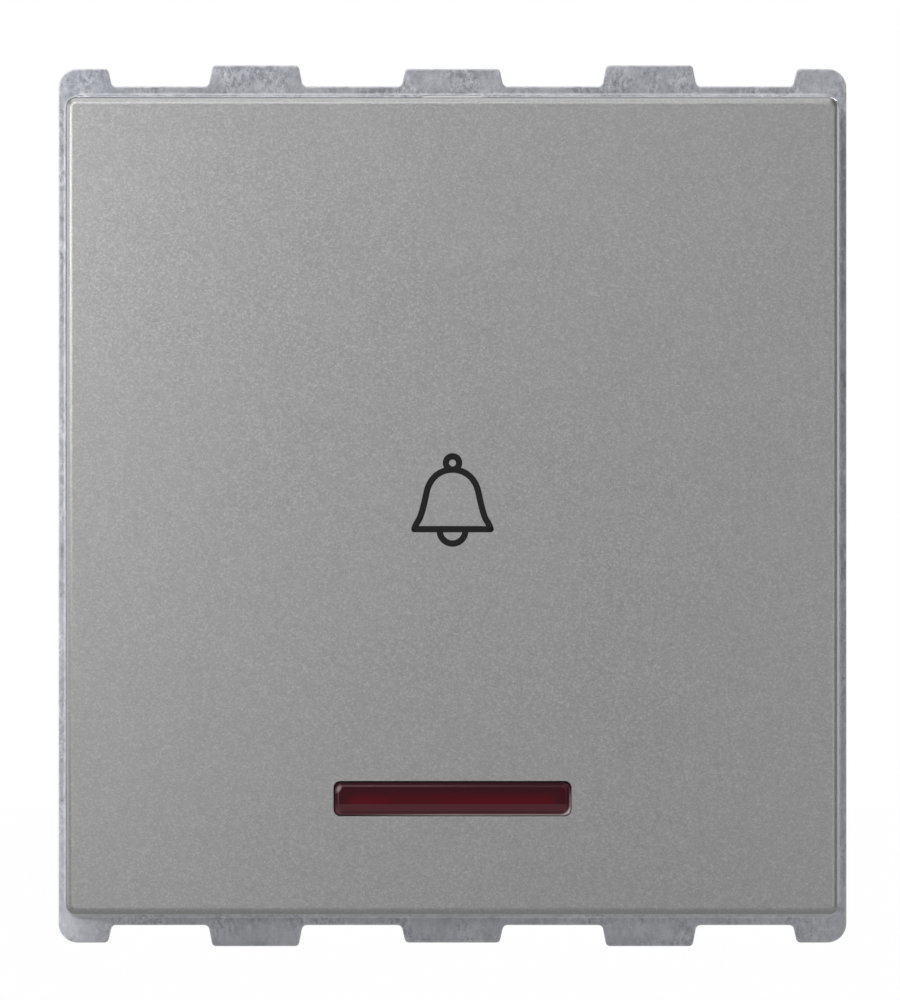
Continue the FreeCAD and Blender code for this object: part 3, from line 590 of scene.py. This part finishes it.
finishes = {
    "cast_zinc": castZinc(),
    "silver_paint": silverPaint(),
    "red_lens": redLens(),
    "housing_grey": mouldedPlastic("housingGrey", (0.46, 0.46, 0.45), 0.16 * mm, 0.52),
    "cover_black": mouldedPlastic("coverBlack", (0.022, 0.022, 0.024), 0.16 * mm, 0.48),
    "natural_white": mouldedPlastic("naturalWhite", (0.66, 0.65, 0.60), 0.30 * mm, 0.40),
    "spring_steel": workedMetal("springSteel", (0.60, 0.60, 0.61), (1.0, 0.2, 1.0), 0.26),
    "contact_brass": workedMetal("contactBrass", (0.72, 0.53, 0.22), (0.15, 1.0, 1.0), 0.28),
    "contact_silver": workedMetal("contactSilver", (0.80, 0.79, 0.76), (1.0, 1.0, 0.3), 0.24),
    "plated_steel": workedMetal("platedSteel", (0.62, 0.61, 0.55), (1.0, 0.4, 1.0), 0.30),
    "board_laminate": boardLaminate(),
    "lamp_red": lampResin(),
    "resistor_beige": lacquered("resistorBeige", (0.52, 0.40, 0.24), rgba(0.20, 0.05, 0.02), -7.4 * mm, 0.3),
    "diode_black": lacquered("diodeBlack", (0.016, 0.016, 0.016), rgba(0.55, 0.55, 0.52), 6.8 * mm, 0.25),
}
inkFinish = signInk()

for part in frame["record"]["subparts"]:
    shown = frame["nodes"][part["node"]]
    shown.data.materials.clear()
    shown.data.materials.append(finishes[part["material_slot"]])
print("materials made")


class Grower(Wire):
    # A geometry node tree that is filled from the script, with named inputs
    def __init__(self, name, inputs):
        super().__init__(bpy.data.node_groups.new(name, "GeometryNodeTree"))
        face = self.tree.interface
        face.new_socket("Geometry", in_out="INPUT", socket_type="NodeSocketGeometry")
        self.keys = {}
        for label, (kind, value) in inputs.items():
            socket = face.new_socket(label, in_out="INPUT", socket_type=kind)
            self.keys[label] = (socket.identifier, value)
        face.new_socket("Geometry", in_out="OUTPUT", socket_type="NodeSocketGeometry")
        self.start = self.tree.nodes.new("NodeGroupInput")

    def given(self, label):
        return Wire(self.tree, self.start.outputs[label])

    def joined(self, *parts):
        join = self.tree.nodes.new("GeometryNodeJoinGeometry")
        for part in parts:
            self.tree.links.new(part.socket, join.inputs[0])
        return Wire(self.tree, join.outputs[0])

    def finish(self, geometry):
        solid = self.node("GeometryNodeRealizeInstances", {}, {0: geometry})
        values = {"Geometry": solid, "Material": self.given("Material")}
        self.node("NodeGroupOutput", {}, {0: self.node("GeometryNodeSetMaterial", {}, values)})


# Runs the tree on the carrier and leaves a plain mesh of what it makes
def grown(name, carrier, grower):
    modifier = carrier.modifiers.new(name, "NODES")
    modifier.node_group = grower.tree
    for identifier, value in grower.keys.values():
        modifier[identifier] = value
    shaped = carrier.evaluated_get(bpy.context.evaluated_depsgraph_get())
    mesh = bpy.data.meshes.new_from_object(shaped)
    carrier.modifiers.remove(modifier)
    bpy.data.objects.remove(carrier)
    material = [worn for worn in mesh.materials if worn][0]
    mesh.materials.clear()  # with the empty slot that the tree leaves before its material
    mesh.materials.append(material)
    piece = bpy.data.objects.new(name, mesh)
    scene.collection.objects.link(piece)
    return piece


# Bell sign printed on the key: strokes of one width along smooth curves, in millimetres
bell = {
    "stroke": 0.362,
    "relief": 0.024,
    "ringHeight": 2.433,
    "ringRadius": 0.375,
    "crownHeight": 2.050,
    "crownHandle": 0.850,
    "shoulder": (1.469, 0.776),
    "shoulderUp": (0.135, 0.650),
    "shoulderDown": (0.414, 2.000),
    "foot": (2.168, -1.329),
    "footHandle": (0.236, 0.741),
    "clapperHeight": -1.420,
    "clapperRadius": 0.727,
}


def planePoint(place):
    return Vector((place[0] * mm, 0.0, place[1] * mm))


def addBezier(curve, knots, closed=False):
    spline = curve.splines.new("BEZIER")
    spline.bezier_points.add(len(knots) - 1)
    spline.resolution_u = 20
    spline.use_cyclic_u = closed
    for point, (place, before, after) in zip(spline.bezier_points, knots):
        point.handle_left_type = "FREE"
        point.handle_right_type = "FREE"
        point.co = planePoint(place)
        point.handle_left = planePoint(before)
        point.handle_right = planePoint(after)


# Arc of a circle as knots a quarter turn apart, with the usual handle length
def arcKnots(centre, radius, startAngle, quarters):
    reach = radius * 4 / 3 * math.tan(math.pi / 8)
    knots = []
    for step in range(quarters + 1):
        angle = startAngle + step * math.pi / 2
        place = (centre[0] + radius * math.cos(angle), centre[1] + radius * math.sin(angle))
        lean = (-math.sin(angle) * reach, math.cos(angle) * reach)
        before = (place[0] - lean[0], place[1] - lean[1])
        after = (place[0] + lean[0], place[1] + lean[1])
        knots.append((place, before, after))
    return knots


# From the left foot over the crown to the right foot, with both sides alike
def bellBody():
    footX, footZ = bell["foot"]
    sideX, sideZ = bell["shoulder"]
    knots = []
    for side in (-1, 1):
        foot = (side * footX, footZ)
        footLean = (side * (footX - bell["footHandle"][0]), footZ + bell["footHandle"][1])
        shoulder = (side * sideX, sideZ)
        upper = (side * (sideX - bell["shoulderUp"][0]), sideZ + bell["shoulderUp"][1])
        lower = (side * (sideX + bell["shoulderDown"][0]), sideZ - bell["shoulderDown"][1])
        if side < 0:
            knots += [(foot, foot, footLean), (shoulder, lower, upper)]
        else:
            knots += [(shoulder, upper, lower), (foot, footLean, foot)]
    top = bell["crownHeight"]
    crown = ((0.0, top), (-bell["crownHandle"], top), (bell["crownHandle"], top))
    return knots[:2] + [crown] + knots[2:]


def bellLines():
    curve = bpy.data.curves.new("bellLines", "CURVE")
    curve.dimensions = "3D"
    footX, footZ = bell["foot"]
    addBezier(curve, bellBody())
    left, right = (-footX, footZ), (footX, footZ)
    addBezier(curve, [(left, left, right), (right, left, right)])
    addBezier(curve, arcKnots((0.0, bell["ringHeight"]), bell["ringRadius"], 0.0, 3), closed=True)
    addBezier(curve, arcKnots((0.0, bell["clapperHeight"]), bell["clapperRadius"], math.pi, 2))
    carrier = bpy.data.objects.new("bellLines", curve)
    scene.collection.objects.link(carrier)
    return carrier


def bellSign():
    grower = Grower("printedStrokes", {
        "Stroke": ("NodeSocketFloat", bell["stroke"] * mm),
        "Relief": ("NodeSocketFloat", bell["relief"] / bell["stroke"]),
        "Face": ("NodeSocketFloat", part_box("push_key")[0].y),
        "Material": ("NodeSocketMaterial", inkFinish),
    })
    half = grower.given("Stroke") * 0.5
    section = grower.node("GeometryNodeCurvePrimitiveCircle", {}, {"Resolution": 16, "Radius": half})
    values = {"Curve": grower.given("Geometry"), "Profile Curve": section, "Fill Caps": True}
    lines = grower.node("GeometryNodeCurveToMesh", {}, values)
    ball = grower.node("GeometryNodeMeshUVSphere", {}, {"Segments": 24, "Rings": 12, "Radius": half})
    ends = grower.node("GeometryNodeCurveEndpointSelection", {}, {"Start Size": 1, "End Size": 1})
    values = {"Points": grower.given("Geometry"), "Selection": ends, "Instance": ball}
    caps = grower.node("GeometryNodeInstanceOnPoints", {}, values)
    flatten = grower.node("ShaderNodeCombineXYZ", {}, {"X": 1.0, "Y": grower.given("Relief"), "Z": 1.0})
    settle = grower.node("ShaderNodeCombineXYZ", {}, {"X": 0.0, "Y": grower.given("Face"), "Z": 0.0})
    both = grower.node("GeometryNodeRealizeInstances", {}, {0: grower.joined(lines, caps)})
    values = {"Geometry": both, "Scale": flatten, "Translation": settle}
    grower.finish(grower.node("GeometryNodeTransform", {}, values))
    return grown("bellSign", bellLines(), grower)


sign = bellSign()
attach(sign, "key")
print("bell sign made")


# Ejector marks of the mould on the housing's back: shallow rings, in millimetres
marks = {
    "radius": 1.4,
    "line": 0.16,
    "flatness": 0.35,
    "upper": [(-16.4, 14.0), (16.4, 14.0), (-16.4, 1.5), (16.4, 1.5)],
    "lower": [(0.0, -12.0)],
    "step": 1.5,
}


def mouldMarks():
    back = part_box("rear_housing")[1].y
    places = [Vector((x * mm, back - marks["step"] * mm, z * mm)) for x, z in marks["upper"]]
    places += [Vector((x * mm, back, z * mm)) for x, z in marks["lower"]]
    mesh = bpy.data.meshes.new("markPlaces")
    mesh.from_pydata(places, [], [])
    carrier = bpy.data.objects.new("markPlaces", mesh)
    scene.collection.objects.link(carrier)

    grower = Grower("ejectorRings", {
        "Radius": ("NodeSocketFloat", marks["radius"] * mm),
        "Line": ("NodeSocketFloat", marks["line"] * mm),
        "Flatness": ("NodeSocketFloat", marks["flatness"]),
        "Material": ("NodeSocketMaterial", finishes["housing_grey"]),
    })
    circle = {"Resolution": 40, "Radius": grower.given("Radius")}
    circle = grower.node("GeometryNodeCurvePrimitiveCircle", {}, circle)
    section = {"Resolution": 10, "Radius": grower.given("Line") * 0.5}
    section = grower.node("GeometryNodeCurvePrimitiveCircle", {}, section)
    ring = grower.node("GeometryNodeCurveToMesh", {}, {"Curve": circle, "Profile Curve": section})
    flatten = grower.node("ShaderNodeCombineXYZ", {}, {"X": 1.0, "Y": 1.0, "Z": grower.given("Flatness")})
    turned = {"Geometry": ring, "Rotation": (math.pi / 2, 0.0, 0.0), "Scale": flatten}
    ring = grower.node("GeometryNodeTransform", {}, turned)
    values = {"Points": grower.given("Geometry"), "Instance": ring}
    grower.finish(grower.node("GeometryNodeInstanceOnPoints", {}, values))
    return grown("mouldMarks", carrier, grower)


rings = mouldMarks()
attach(rings, "base")
print("mould marks made")


# Springs of round wire, in the places and with the turns of the six-sided ones, in millimetres
coils = {
    "wire": 0.5,
    "play": 0.02,
    "returnRadius": 2.2,
    "returnTurns": 5.5,
    "contactRadius": 2.65,
    "contactTurns": 3.5,
    "travel": 1.17,
}


def roundSpring(name, node, radius, turns):
    low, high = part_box(node)
    middle = sum(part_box("plunger"), Vector()) / 2
    inset = (coils["wire"] / 2 + coils["play"]) * mm
    carrier = bpy.data.objects.new(name, bpy.data.meshes.new(name))
    scene.collection.objects.link(carrier)

    grower = Grower(name, {
        "Radius": ("NodeSocketFloat", radius * mm),
        "Turns": ("NodeSocketFloat", turns),
        "Length": ("NodeSocketFloat", high.y - low.y - 2 * inset),
        "Wire Radius": ("NodeSocketFloat", coils["wire"] / 2 * mm),
        "Start": ("NodeSocketVector", (middle.x, low.y + inset, middle.z)),
        "Material": ("NodeSocketMaterial", finishes["spring_steel"]),
    })
    helix = grower.node("GeometryNodeCurveSpiral", {}, {
        "Resolution": 40,
        "Rotations": grower.given("Turns"),
        "Start Radius": grower.given("Radius"),
        "End Radius": grower.given("Radius"),
        "Height": grower.given("Length"),
        "Reverse": True,
    })
    section = {"Resolution": 12, "Radius": grower.given("Wire Radius")}
    section = grower.node("GeometryNodeCurvePrimitiveCircle", {}, section)
    values = {"Curve": helix, "Profile Curve": section, "Fill Caps": True}
    wound = grower.node("GeometryNodeCurveToMesh", {}, values)
    values = {"Geometry": wound, "Rotation": (-math.pi / 2, 0.0, 0.0), "Translation": grower.given("Start")}
    grower.finish(grower.node("GeometryNodeTransform", {}, values))
    piece = grown(name, carrier, grower)
    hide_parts(node)
    return piece


contactCoil = roundSpring("contactSpring", "contact_spring", coils["contactRadius"], coils["contactTurns"])
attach(contactCoil, "plunger_group")
returnCoil = roundSpring("returnSpring", "return_spring", coils["returnRadius"], coils["returnTurns"])
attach(returnCoil, "base")
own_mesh(returnCoil)
print("springs made")


# Floor, world and camera
studio = {
    "floorWidth": 6.0,
    "floorFront": -4.5,
    "floorBack": 0.9,
    "floorBounce": 0.45,
    "floorGrain": 4.0 * mm,
    "worldColour": rgba(0.96, 0.98, 1.0),
    "worldLight": 0.10,
    "imageHeight": 56.91 * mm,
    "distance": 2.0,
    "focusPlane": -4.8 * mm,
    "cameraX": -0.142 * mm,
    "cameraZ": 0.327 * mm,
}


# White to the camera, and darker for the light that it throws back
def floorFinish():
    material, wire = newMaterial("paleFloor")
    grain = noise(wire, objectPlace(wire), studio["floorGrain"], 3.0)
    tone = blended(wire, grain, rgba(0.05, 0.05, 0.05), rgba(0.07, 0.07, 0.07))
    white = blended(wire, grain, rgba(0.99, 0.99, 0.99), rgba(1.0, 1.0, 1.0))
    thrown = wire.node("ShaderNodeBsdfPrincipled", {}, {
        "Base Color": tone,
        "Roughness": 0.9 + grain.swing(0.1),
        "Specular IOR Level": 0.0,
        "Emission Color": white,
        "Emission Strength": studio["floorBounce"],
    })
    shown = wire.node("ShaderNodeEmission", {}, {"Color": white, "Strength": 1.0})
    seen = wire.node("ShaderNodeLightPath", out="Is Camera Ray")
    both = wire.node("ShaderNodeMixShader", {}, {0: seen, 1: thrown, 2: shown})
    wire.node("ShaderNodeOutputMaterial", {}, {"Surface": both})
    return material


def paleFloor():
    level = cadBox[0].z
    half = studio["floorWidth"] / 2
    corners = [
        (-half, studio["floorFront"], level), (half, studio["floorFront"], level),
        (half, studio["floorBack"], level), (-half, studio["floorBack"], level),
    ]
    mesh = bpy.data.meshes.new("paleFloor")
    mesh.from_pydata(corners, [], [(0, 1, 2, 3)])
    mesh.materials.append(floorFinish())
    floor = bpy.data.objects.new("paleFloor", mesh)
    scene.collection.objects.link(floor)


def softWorld():
    world = bpy.data.worlds.new("softWorld")
    world.use_nodes = True
    world.node_tree.nodes.clear()
    wire = Wire(world.node_tree)
    seen = wire.node("ShaderNodeLightPath", out="Is Camera Ray")
    pale = {"Color": studio["worldColour"], "Strength": studio["worldLight"]}
    lit = wire.node("ShaderNodeBackground", {}, pale)
    shown = wire.node("ShaderNodeBackground", {}, {"Color": rgba(1.0, 1.0, 1.0), "Strength": 1.0})
    both = wire.node("ShaderNodeMixShader", {}, {0: seen, 1: lit, 2: shown})
    wire.node("ShaderNodeOutputWorld", {}, {"Surface": both})
    scene.world = world


def squareOnCamera():
    data = bpy.data.cameras.new("camera")
    data.sensor_fit = "VERTICAL"
    data.sensor_width = 36.0
    data.sensor_height = 36.0
    data.lens = data.sensor_height * studio["distance"] / studio["imageHeight"]
    data.clip_end = 20.0
    shot = bpy.data.objects.new("camera", data)
    shot.location = (studio["cameraX"], studio["focusPlane"] - studio["distance"], studio["cameraZ"])
    shot.rotation_euler = (math.pi / 2, 0.0, 0.0)
    scene.collection.objects.link(shot)
    scene.camera = shot


# Lights: the place, the point each is turned to, the width and the power in watts
lights = {
    "highLight": ((-0.05, -0.26, 0.14), (0.0, 0.0, 0.01), 0.14, 0.27),
    "leftLight": ((-0.055, -0.055, 0.02), (-0.018, 0.0, 0.008), 0.03, 0.017),
    "rightLight": ((0.20, -0.45, 0.01), (0.0, 0.0, -0.01), 0.05, 0.12),
    "lowLeftLight": ((-0.04, -0.12, -0.016), (-0.01, 0.0, -0.024), 0.016, 0.005),
    "lowRightLight": ((0.05, -0.12, -0.016), (0.01, 0.0, -0.024), 0.016, 0.003),
    "topEdge": ((-0.04, -0.03, 0.20), (0.0, 0.0, 0.02), 0.24, 0.26),
    "leftEdge": ((-0.24, 0.012, 0.04), (0.0, 0.0, 0.0), 0.16, 0.15),
    "rightEdge": ((0.22, 0.10, 0.02), (0.0, 0.0, 0.0), 0.16, 0.15),
    "backLight": ((0.16, 0.34, 0.24), (0.0, 0.0, 0.0), 0.20, 0.80),
}


def areaLight(name, place, target, size, power):
    data = bpy.data.lights.new(name, "AREA")
    data.shape = "DISK"
    data.size = size
    data.energy = power
    light = bpy.data.objects.new(name, data)
    light.location = place
    light.rotation_euler = (Vector(target) - Vector(place)).to_track_quat("-Z", "Y").to_euler()
    light.visible_camera = False
    scene.collection.objects.link(light)


paleFloor()
for name, (place, target, size, power) in lights.items():
    areaLight(name, place, target, size, power)
softWorld()
squareOnCamera()
scene.view_settings.view_transform = "Standard"
print("stage set")
